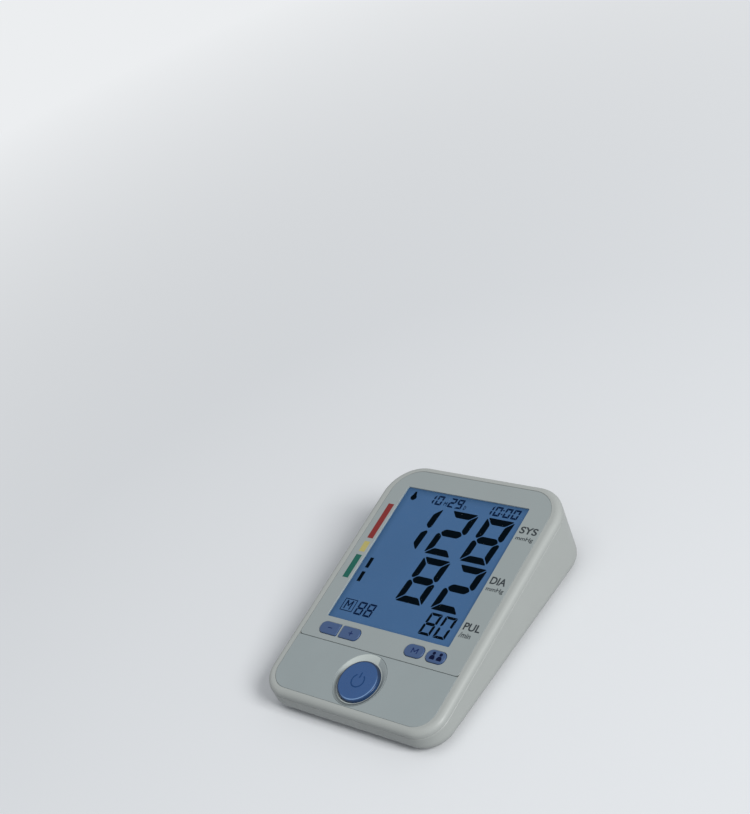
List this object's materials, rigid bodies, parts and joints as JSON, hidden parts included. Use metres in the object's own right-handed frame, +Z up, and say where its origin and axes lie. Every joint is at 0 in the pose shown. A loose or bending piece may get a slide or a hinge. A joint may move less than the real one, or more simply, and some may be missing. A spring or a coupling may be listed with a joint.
{
  "type": "upper arm blood pressure monitor",
  "caption": "Desktop upper-arm blood pressure monitor: a wedge case with a large blue LCD, a round start button, small keys, side air and power sockets, and a battery door below.",
  "frame": {"origin": "on the table, under the middle of the case's outline", "axes": "+Z up, +Y from the user to the back of the case, +X to the user's right"},
  "size_m": [0.1105, 0.1437, 0.0369],
  "materials": {
    "case_white": "fine matt moulded",
    "panel_grey": "satin printed",
    "fascia_grey": "satin",
    "button_blue": "satin",
    "key_blue": "satin",
    "clear_window": "clear acrylic",
    "lcd_face": "blue backlit LCD film",
    "lcd_glass": "thin float glass",
    "lcd_film": "grey film",
    "light_guide": "milky acrylic",
    "inner_white": "moulded",
    "board_green": "solder mask",
    "black_plastic": "moulded",
    "socket_grey": "moulded",
    "steel": "zinc plated",
    "iron": "laminated steel",
    "copper": "enamelled copper winding",
    "nickel": "nickel plated",
    "silicone": "milky silicone",
    "grey_rubber": "soft rubber",
    "foam": "closed-cell foam",
    "paper_cone": "pressed film",
    "battery_jacket": "plain shrink jacket",
    "wire_red": "PVC insulation"
  },
  "bodies": {
    "case": {"air_manifold": "inner_white", "air_socket": "socket_grey", "backlight": "light_guide", "batteries": "battery_jacket", "battery_contacts": "nickel", "battery_springs": "nickel", "battery_wires": "wire_red", "board_components": "black_plastic", "board_screws": "steel", "bottom_housing": "case_white", "case_screws": "steel", "display_panel": "panel_grey", "front_polariser": "lcd_face", "holder_screws": "steel", "lcd_front_glass": "lcd_glass", "lcd_holder": "inner_white", "lcd_rear_glass": "lcd_glass", "lower_fascia": "fascia_grey", "main_board": "board_green", "microcontroller": "black_plastic", "power_jack": "black_plastic", "power_jack_pin": "nickel", "pressure_sensor": "black_plastic", "pump_foam": "foam", "pump_head": "inner_white", "pump_motor_can": "steel", "pump_tube": "silicone", "pump_wires": "wire_red", "rear_polariser": "lcd_film", "rubber_feet": "grey_rubber", "sensor_tube": "silicone", "speaker_cone": "paper_cone", "speaker_frame": "black_plastic", "speaker_magnet": "steel", "switch_bodies": "black_plastic", "top_housing": "case_white", "valve_coil": "copper", "valve_frame": "steel", "valve_tube": "silicone", "window_lens": "clear_window", "zebra_strip": "grey_rubber"},
    "start_button": {"start_button": "button_blue", "start_switch_plunger": "black_plastic"},
    "minus_key": {"minus_key": "key_blue", "minus_switch_plunger": "black_plastic"},
    "plus_key": {"plus_key": "key_blue", "plus_switch_plunger": "black_plastic"},
    "memory_key": {"memory_key": "key_blue", "memory_switch_plunger": "black_plastic"},
    "user_key": {"user_key": "key_blue", "user_switch_plunger": "black_plastic"},
    "battery_door": {"battery_door": "case_white"},
    "pump_rotor": {"pump_shaft": "steel", "pump_armature": "iron", "pump_eccentric": "inner_white"},
    "valve_plunger": {"valve_plunger": "steel", "valve_seal": "grey_rubber"}
  },
  "joints": [
    {"name": "start_button_press", "type": "slide", "parent": "case", "child": "start_button", "axis": [0, 0.1564, -0.9877], "range_m": [0, 0.0006], "stiffness_N_per_m": 1200, "springref_m": -0.0006},
    {"name": "minus_key_press", "type": "slide", "parent": "case", "child": "minus_key", "axis": [0, 0.1564, -0.9877], "range_m": [0, 0.0005], "stiffness_N_per_m": 1000, "springref_m": -0.0006},
    {"name": "plus_key_press", "type": "slide", "parent": "case", "child": "plus_key", "axis": [0, 0.1564, -0.9877], "range_m": [0, 0.0005], "stiffness_N_per_m": 1000, "springref_m": -0.0006},
    {"name": "memory_key_press", "type": "slide", "parent": "case", "child": "memory_key", "axis": [0, 0.1564, -0.9877], "range_m": [0, 0.0005], "stiffness_N_per_m": 1000, "springref_m": -0.0006},
    {"name": "user_key_press", "type": "slide", "parent": "case", "child": "user_key", "axis": [0, 0.1564, -0.9877], "range_m": [0, 0.0005], "stiffness_N_per_m": 1000, "springref_m": -0.0006},
    {"name": "battery_door_hinge", "type": "hinge", "parent": "case", "child": "battery_door", "pos_m": [0.0065, 0.06427, 0.00248], "axis": [1, 0, 0], "range_deg": [0, 60]},
    {"name": "pump_spin", "type": "hinge", "parent": "case", "child": "pump_rotor", "pos_m": [-0.035, 0.047, 0.0128], "axis": [0, 1, 0], "continuous": true},
    {"name": "valve_stroke", "type": "slide", "parent": "case", "child": "valve_plunger", "axis": [0, 1, 0], "range_m": [-0.0007, 0], "stiffness_N_per_m": 300, "springref_m": 0.0005}
  ]
}
